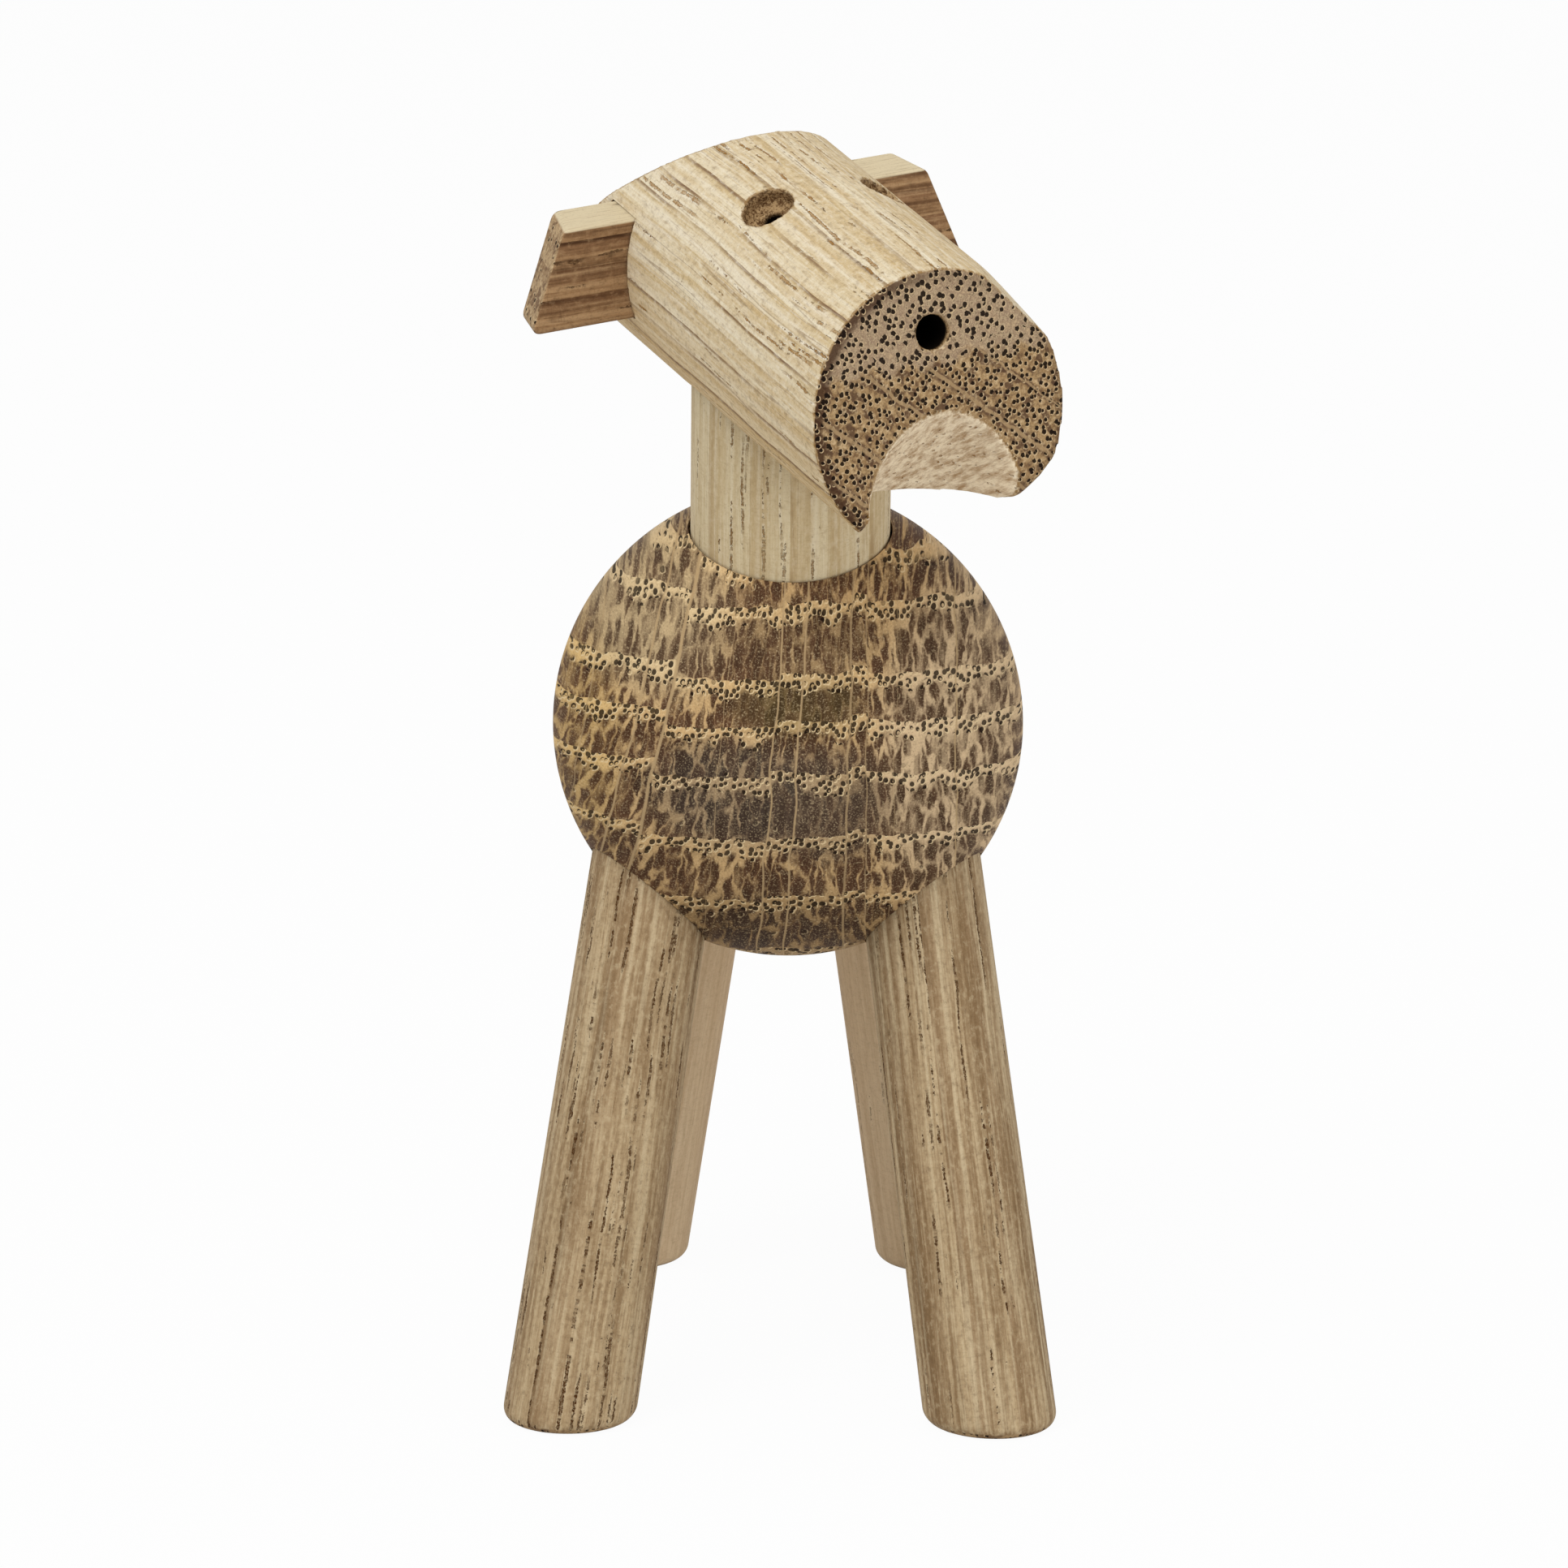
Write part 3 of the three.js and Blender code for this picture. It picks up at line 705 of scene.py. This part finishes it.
head = {"radius": 8.22, "muzzle": 18.2, "tilt": 16.3, "crownBack": 4.9, "crownSlope": 46,
        "napeBack": 11.6, "napeRound": 2.5, "scoopRadius": 5.0, "scoopLean": 40.6, "scoopReach": 24.8,
        "scoopRoll": 3.5, "scoopAside": 0.25, "eyeRadius": 1.56, "eyeDepth": 1.0, "eyeAhead": 2.8,
        "eyeAngles": (-26.2, 32), "pointRadius": 0.58, "pointDepth": 1.4,
        "noseRadius": 1.04, "noseDepth": 6, "noseRise": 4.7, "toolClear": 3, "crease": 50,
        "voxel": 0.19, "quickVoxel": 2.5, "softTurns": 4, "wearTurns": 250, "quickTurns": 40,
        # cheek: a flat sanded on the rim, its place, the way it faces and how deep it is
        "cheek": ((5.82, -16.50, 5.80), (0.703, -0.122, 0.700), 0.5), "cheekRod": 6,
        # jowls: the tip of each, how deep it is worn and how far that reaches
        "jowls": (((-5.09, -20.09, -6.46), 0.25, 0.7), ((4.85, -20.14, -6.64), 0.65, 1.6)),
        "jowlWay": (0.62, -0.58, -0.53), "jowlRod": 4,
        "oak": {"seed": 47.0, "pith": (-60, 8), "wander": 0.6, "lean": 0.01, "ring": 1.35,
                "line": 0.95, "band": 0.45, "mottle": 0.35,
                "early": "#e6d8b9", "late": "#d6c198", "dark": "#7d6045", "stain": "#c8aa76",
                "pale": "#f4ebd7", "endEarly": "#b59a72", "endLate": "#9d815c", "endDark": "#573f2f",
                "endPale": "#d8bc92",
                # cut faces: way up in the grain's frame, level of the pink wood, rays and half widths
                "face": {"up": (0.777, -0.629), "edge": 3.0,
                         "rays": ((-6.66, 0.13), (-4.10, 0.15), (-0.61, 0.13), (1.85, 0.15), (4.4, 0.08)),
                         "blush": "#998069", "fleck": "#dfc59d", "ray": "#b0926a", "rim": "#432a19",
                         "brink": "#8d6836", "gold": "#f0d49a", "shade": "#e3caa6",
                         # scoop colours are painted pale: painted light in the shaded scoop
                         "scoop": "#fae8c8", "scoopDark": "#b08f69"},
                "pore": {"cell": 0.43, "size": 0.24, "thin": 0.135, "wander": 0.9, "share": 0.95,
                         "stray": 0.4, "endShare": 0.95, "break": 0.2, "dash": 1.4, "jag": 0.4,
                         "deep": 0.75, "tint": "#94682c"}}}


def headSurface(h, cols=240):
    # a dowel along Y: the muzzle end is a slanting plane, and the back end falls from the crown along
    # a straight line, a bend and a quarter circle to the nape
    angle = np.linspace(0, 2 * pi, cols, endpoint=False)
    lat, up = h["radius"] * np.cos(angle), h["radius"] * np.sin(angle)
    share = np.linspace(0, 1, 40)[:, None]
    crown, nape, curl = h["crownBack"], h["napeBack"], h["napeRound"]

    def muzzleAt(height):
        return -(h["muzzle"] - height * tan(radians(h["tilt"])))

    run = (nape - crown) * 0.74
    knee = h["radius"] - run / tan(radians(h["crownSlope"]))
    bend = bezier([(crown + run, knee), (nape, knee - 0.34 * run), (nape, knee - 0.6 * run),
                   (nape, knee - run)], 24)
    low = arc((nape - curl, curl - h["radius"]), (curl, curl), 0, -90, 20)
    back = np.concatenate([[(crown, h["radius"])], bend, low])

    def napeAt(height):
        return np.interp(-height, -back[:, 1], back[:, 0])

    def sawn(place):
        # points of a sawn face from its middle out to the rim
        x, z = share * lat, share * up
        return np.stack([x, place(z), z], -1)

    front, rear = sawn(muzzleAt), sawn(napeAt)
    wall = front[-1] * (1 - share[..., None]) + rear[-1] * share[..., None]
    grid = np.concatenate([front[:-1], wall[:-1], rear[::-1]])
    return skin("head_oak", moved(grid, headPlace))


def rod(name, radius, low, high, place, cols=96):
    return turned(name, [(0, low), (radius, low), (radius, high), (0, high)], place, cols)


# ears: raked boards, wider at the foot and in front

ears = {"thick": 2.9, "inset": 2.96, "top": 3.3, "height": 6.0, "rake": 9.7, "topSpan": 12.27,
        "flare": 2.44, "slant": 0.72, "depth": 2.9, "corners": (0.5, 0.8, 0.5, 0.5), "edge": 0.18,
        "drop": 0.35, "gap": 0.07, "seed": 71.0,
        "oak": {"pith": (3, -40), "wander": 0.4, "lean": 0.02, "ring": 1.7, "line": 0.95, "band": 0.85,
                "mottle": 0.35, "cap": (3.22, "#d8c8a6"),
                "early": "#aa855e", "late": "#8a6546", "dark": "#452b18", "stain": "#694a30",
                "pale": "#bd9a72", "endEarly": "#b89c76", "endLate": "#9a7d5b", "endDark": "#6b5038",
                "endPale": "#d6bd96",
                "pore": {"cell": 0.45, "size": 0.18, "thin": 0.02, "wander": 0.7, "share": 0.9,
                         "stray": 0.1, "endShare": 0.22, "break": 0.3, "dash": 0.9, "jag": 0.3,
                         "deep": 0.6, "tint": "#3c2611"}}}


def roundedOutline(points, radius, count):
    # straight sides joined by a quadratic curve at each corner, whose radius is how far back it starts
    p, radius = np.asarray(points, float), np.array(radius)[:, None]
    before, after = np.roll(p, 1, 0), np.roll(p, -1, 0)
    start, stop = p + unit(before - p) * radius, p + unit(after - p) * radius
    t = np.linspace(0, 1, count)[None, :, None]
    bend = (1 - t) ** 2 * start[:, None] + 2 * t * (1 - t) * p[:, None] + t * t * stop[:, None]
    share = np.linspace(0, 1, count + 2)[None, 1:-1, None]
    side = stop[:, None] + (np.roll(start, -1, 0) - stop)[:, None] * share
    return np.concatenate([bend, side], 1).reshape(-1, 2)


def earSurface(name, hand, grow=0.0):
    # an outline carried through the board's thickness, drawn in along a quarter curve at both faces,
    # then raked back, slanted outward and its back dropped towards the foot
    e = ears
    top, foot = e["top"] + grow, e["top"] - e["height"] - grow
    inner, outer = head["radius"] - e["depth"] - grow, e["topSpan"] + grow
    corners = [(inner, foot), (outer + e["flare"], foot), (outer, top), (inner, top)]
    line = roundedOutline(corners, e["corners"], 14)
    middle = line.mean(0)
    tangent = unit(np.roll(line, -1, 0) - np.roll(line, 1, 0))
    inward = np.stack([-tangent[:, 1], tangent[:, 0]], -1)
    bend = np.linspace(0, pi / 2, 7)[:, None, None]
    rim = line + inward * e["edge"] * (1 - np.sin(bend))
    deep = np.repeat(e["edge"] * (1 - np.cos(bend)), len(line), 1)
    thick = e["thick"] + 2 * grow
    fill = np.append(np.linspace(0, 0.96, 9), 1)[:, None, None]  # a last ring close to the rim
    face = middle + (rim[0] - middle) * fill
    wall = np.linspace(e["edge"], thick - e["edge"], 12)[1:-1, None, None]
    sides = np.repeat(line[None], len(wall), 0)
    outline = np.concatenate([face[:-1], rim, sides, rim[::-1], face[::-1][1:]])
    flat = np.zeros((len(face) - 1, len(line), 1))
    level = np.concatenate([flat, deep, np.repeat(wall, len(line), 1), thick - deep[::-1], flat + thick])
    level, height = level[..., 0], outline[..., 1]
    half = e["top"] - e["height"] / 2
    x = outline[..., 0] + e["slant"] / e["thick"] * (level - e["thick"] - grow)
    y = (height - half) * tan(radians(e["rake"])) - level + head["napeBack"] - e["inset"] + grow
    z = height - e["drop"] * (1 - level / thick) * (top - height) / (top - foot)
    return skin(name, moved(np.stack([hand * x, y, z], -1), headPlace))


# making: body

lying = upright @ Matrix(((1, 0, 0, 0), (0, 0, 1, 0), (0, -1, 0, 0), (0, 0, 0, 1)))
bodyPiece = turned("body_oak", bodyProfile(body), lying, 200)
tools = [rod("neck_bore", neck["radius"] + body["neckGap"], neck["seat"] - body["boreUnder"],
             body["boreTop"], neckPlace, 160)]
for node, (side, pair, *_) in stands.items():
    tools.append(legSurface(node + "_bore", side, legs[pair], body["legGap"]))
tools.append(turned("tail_bore", tailProfile(tail, tail["gap"]), tailPlace, 96))
cut(bodyPiece, tools)
bodyGrain = {"across": (1, 0, 0), "growth": (0, 0, -1), "along": (0, 1, 0), "origin": chest}
bodyOak = smokedOak("smoked_oak", bodyGrain, body["oak"])
finishPiece(bodyPiece, "torso", "body", bodyOak, bodyGrain["along"])

# making: legs and tail

for node, (side, pair, twist, seed, oak) in stands.items():
    leg = legSurface(node + "_oak", side, legs[pair])
    grain = legGrain(side, legs[pair], twist)
    paint = longOak(node + "_oak", grain, {**oak, "seed": seed})
    finishPiece(leg, "torso", node, paint, grain["along"])
tailPiece = turned("tail_oak", tailProfile(tail), tailPlace, 96)
tailGrain = grainOf(tailPlace, tailPlace.translation)
tailOak = longOak("tail_oak", tailGrain, {**legOak, "seed": tail["seed"]})
finishPiece(tailPiece, "torso", "tail", tailOak, tailGrain["along"])

# making: neck, head and ears

neckPiece = turned("neck_oak", neckProfile(neck), turnPlace, 160)
neckGrain = grainOf(turnPlace, chest)
neckOak = longOak("neck_oak", neckGrain, neck["oak"])
finishPiece(neckPiece, "head_and_neck", "neck", neckOak, neckGrain["along"])

h = head
headPiece = headSurface(h)
clear = h["toolClear"]  # how far a tool stands out of the wood
scoopPlace = headPlace @ turn(h["scoopRoll"], "Y") @ shift(h["scoopAside"], -h["scoopReach"], 0)
scoopPlace = scoopPlace @ turn(h["scoopLean"], "X")
tools = [rod("scoop", h["scoopRadius"], -4 * h["radius"], h["radius"], scoopPlace, 160)]
eyePlaces = [headPlace @ shift(0, -h["eyeAhead"], 0) @ turn(a, "Y") for a in h["eyeAngles"]]
eyeFloor = h["radius"] - h["eyeDepth"]
for place in eyePlaces:
    tools.append(rod("eye", h["eyeRadius"], eyeFloor, h["radius"] + clear, place, 64))
    tools.append(rod("eye_point", h["pointRadius"], eyeFloor - h["pointDepth"], h["radius"], place, 32))
faceAt = h["muzzle"] - h["noseRise"] * tan(radians(h["tilt"]))
nosePlace = headPlace @ shift(0, -faceAt, h["noseRise"]) @ turn(90 - h["tilt"], "X")
tools.append(rod("nose", h["noseRadius"], -h["noseDepth"], clear, nosePlace, 64))
tipPlaces = []
for tip, wear, _ in h["jowls"]:
    way = Vector(h["jowlWay"]) * Vector((np.sign(tip[0]), 1, 1))
    tipPlaces.append(headPlace @ shift(*tip) @ facing(way))
    tools.append(rod("jowl_wear", h["jowlRod"], -wear, clear, tipPlaces[-1], 48))
spot, way, wear = h["cheek"]
tools.append(rod("cheek_wear", h["cheekRod"], -wear, clear, headPlace @ shift(*spot) @ facing(way), 48))
tools.append(rod("neck_socket", neck["radius"] + neck["socketGap"], 0, neck["top"] + neck["socketTop"],
                 turnPlace, 160))
cut(headPiece, tools)

# even, slightly softened mesh, and then the sharp slots for the ears
remesh = headPiece.modifiers.new("even", "REMESH")
remesh.mode = "VOXEL"
remesh.voxel_size = h["voxel"] * 1 * mm
soften = headPiece.modifiers.new("soften", "SMOOTH")
soften.factor = 0.5
soften.iterations = h["softTurns"]
settle(headPiece)
cut(headPiece, [earSurface("ear_slot", hand, ears["gap"]) for hand in (-1, 1)])

# the tips of the jowls are worn round
worn = headPiece.vertex_groups.new(name="worn")
near = 0
for place, (_, _, reach) in zip(tipPlaces, h["jowls"]):
    _, local = within(headPiece, place)
    near = np.maximum(near, np.clip(1.7 - np.linalg.norm(local, axis=1) / reach, 0, 1))
for level in range(1, 11):
    worn.add(np.nonzero(np.round(near * 10) == level)[0].tolist(), level / 10, "REPLACE")
soften = headPiece.modifiers.new("worn", "SMOOTH")
soften.factor = 0.5
soften.iterations = h["wearTurns"]
soften.vertex_group = "worn"
settle(headPiece)

# which points lie in the scoop, on an eye's floor (half) or deep in a drilled hole (full), where black is
# painted as shadow
slack = {"scoop": 0.1, "hole": 0.12, "eye": 0.08, "under": 0.5, "rim": 0.02, "point": 0.1,
         "fade": 0.35, "pointFade": 0.4}
off, _ = within(headPiece, scoopPlace)
scooped = np.clip(2.2 - np.abs(off - h["scoopRadius"]) / slack["scoop"], 0, 1)
off, local = within(headPiece, nosePlace)
inside = (off < h["noseRadius"] + slack["hole"]) * (local[:, 2] > -h["noseDepth"] - slack["under"])
hollow = inside * np.clip((slack["rim"] - local[:, 2]) / slack["fade"], 0, 1)
for place in eyePlaces:
    off, local = within(headPiece, place)
    level, upper = local[:, 2], local[:, 2] > 0
    floor = np.clip((h["radius"] - slack["rim"] - level) / slack["fade"], 0, 0.5)
    point = np.clip((eyeFloor + slack["point"] - level) / slack["pointFade"], 0, 1)
    hollow = np.maximum(hollow, upper * (off < h["eyeRadius"] + slack["eye"]) * floor)
    hollow = np.maximum(hollow, upper * (off < h["pointRadius"] + slack["hole"]) * point)
for label, values in (("scooped", scooped), ("hollow", hollow)):
    mask = headPiece.data.attributes.new(label, "FLOAT", "POINT")
    mask.data.foreach_set("value", values.astype(np.float32))
aside, along, above = (headPlace.to_3x3().col[i].copy() for i in range(3))
up = h["oak"]["face"]["up"]
headGrain = {"across": above * up[0] - aside * up[1], "growth": aside * up[0] + above * up[1],
             "along": along, "origin": headPlace.translation}
headOak = longOak("head_oak", headGrain, h["oak"])
finishPiece(headPiece, "head_and_neck", "head", headOak, along, h["crease"])

earGrain = grainOf(headPlace, headPlace.translation, (1, 2, 0))
for node, hand in (("ear_right", -1), ("ear_left", 1)):
    ear = earSurface(node + "_oak", hand)
    paint = longOak(node + "_oak", earGrain, {**ears["oak"], "seed": ears["seed"] + hand})
    finishPiece(ear, "head_and_neck", node, paint, earGrain["along"])


# stage: white floor that keeps the shadow, soft light, camera

stage = {"floorSide": 6.0, "floorDrop": 0.00005, "floorGlow": 0.96, "floorGrey": 0.75, "sky": 0.5,
         "keyAt": (-0.22, -0.38, 0.68), "keyAim": (0, 0, 0.045), "keyPower": 3.2, "keySize": 0.5,
         "fillAt": (0.42, -0.36, 0.10), "fillAim": (0, 0, 0.04), "fillPower": 0.9, "fillSize": 0.4,
         # camera: angle up, distance, roll, focal length and frame in pixels, where the chest falls
         "elevation": 12.4, "distance": 569.6, "roll": 0.67, "focal": 11576.0, "frame": 1932.0,
         "chestAt": (970.0, 890.0), "sensor": 36}
white = (1, 1, 1, 1)


def seenWhite(wire):
    # 1 where the camera, a reflection or a clear material looks, and 0 for light that falls on the dog
    ray = wire.add("LightPath", None, None, "Is Camera Ray")
    gloss, clear = (Wire(wire.tree, ray.socket.node.outputs[name])
                    for name in ("Is Glossy Ray", "Is Transmission Ray"))
    return (ray + gloss + clear).most(1)


half = stage["floorSide"] / 2
floorMesh = bpy.data.meshes.new("floor")
floorMesh.from_pydata([(x * half, y * half, -stage["floorDrop"])
                       for x, y in ((-1, -1), (1, -1), (1, 1), (-1, 1))], [], [(0, 1, 2, 3)])
floorPiece = bpy.data.objects.new("floor", floorMesh)
scene.collection.objects.link(floorPiece)
floorPaint = bpy.data.materials.new("white_floor")
floorPaint.use_nodes = True
floorPaint.node_tree.nodes.clear()
wire = Wire(floorPaint.node_tree)
seen = seenWhite(wire) * stage["floorGlow"]
matt = wire.add("BsdfDiffuse", None, {"Color": (*(stage["floorGrey"],) * 3, 1)})
glow = wire.add("Emission", None, {"Color": white, "Strength": 1.0})
mixed = wire.add("MixShader", None, {0: seen, 1: matt, 2: glow})
wire.add("OutputMaterial", None, {"Surface": mixed})
floorMesh.materials.append(floorPaint)

world = bpy.data.worlds.new("studio")
scene.world = world
world.use_nodes = True
world.node_tree.nodes.clear()
wire = Wire(world.node_tree)
level = seenWhite(wire) * (1 - stage["sky"]) + stage["sky"]
sky = wire.add("Background", None, {"Color": white, "Strength": level})
wire.add("OutputWorld", None, {"Surface": sky})


def softLamp(name, place, aim, power, side):
    lamp = bpy.data.lights.new(name, "AREA")
    lamp.energy = power
    lamp.size = side
    holder = bpy.data.objects.new(name, lamp)
    holder.location = place
    holder.rotation_euler = (Vector(aim) - Vector(place)).to_track_quat("-Z", "Y").to_euler()
    scene.collection.objects.link(holder)


for name in ("key", "fill"):
    softLamp(name, *(stage[name + part] for part in ("At", "Aim", "Power", "Size")))

rise, roll = radians(stage["elevation"]), radians(stage["roll"])
toward = Vector((0, -cos(rise), sin(rise)))
upScreen = Vector((0, sin(rise), cos(rise)))
eye = chest + toward * stage["distance"]
off = [(p - stage["frame"] / 2) / stage["focal"] * stage["distance"] for p in stage["chestAt"]]
aim = chest - Vector((off[0], 0, 0)) + upScreen * off[1]
look = (aim - eye).to_track_quat("-Z", "Y").to_matrix() @ Matrix.Rotation(roll, 3, "Z")
camera = bpy.data.cameras.new("camera")
camera.sensor_width = stage["sensor"]
camera.lens = stage["sensor"] * stage["focal"] / stage["frame"]
camera.clip_start = 0.01
holder = bpy.data.objects.new("camera", camera)
holder.location = eye * mm
holder.rotation_euler = look.to_euler()
scene.collection.objects.link(holder)
scene.camera = holder

# the hidden ring keeps its CAD node and gets a rubber of its own
rubber, wire, q = startMaterial("ring_rubber", neckGrain)
grime = wire.noise(q, 3, 3)
dust = grime.step(0.4, 0.7).mix(tint("#1d1b1a"), tint("#343130"))
closeMaterial(wire, dust, 0.75 + grime * 0.15, grime, 0.02)
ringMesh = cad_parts["friction_ring"].data
ringMesh.materials.clear()
ringMesh.materials.append(rubber)

print("stage ready")
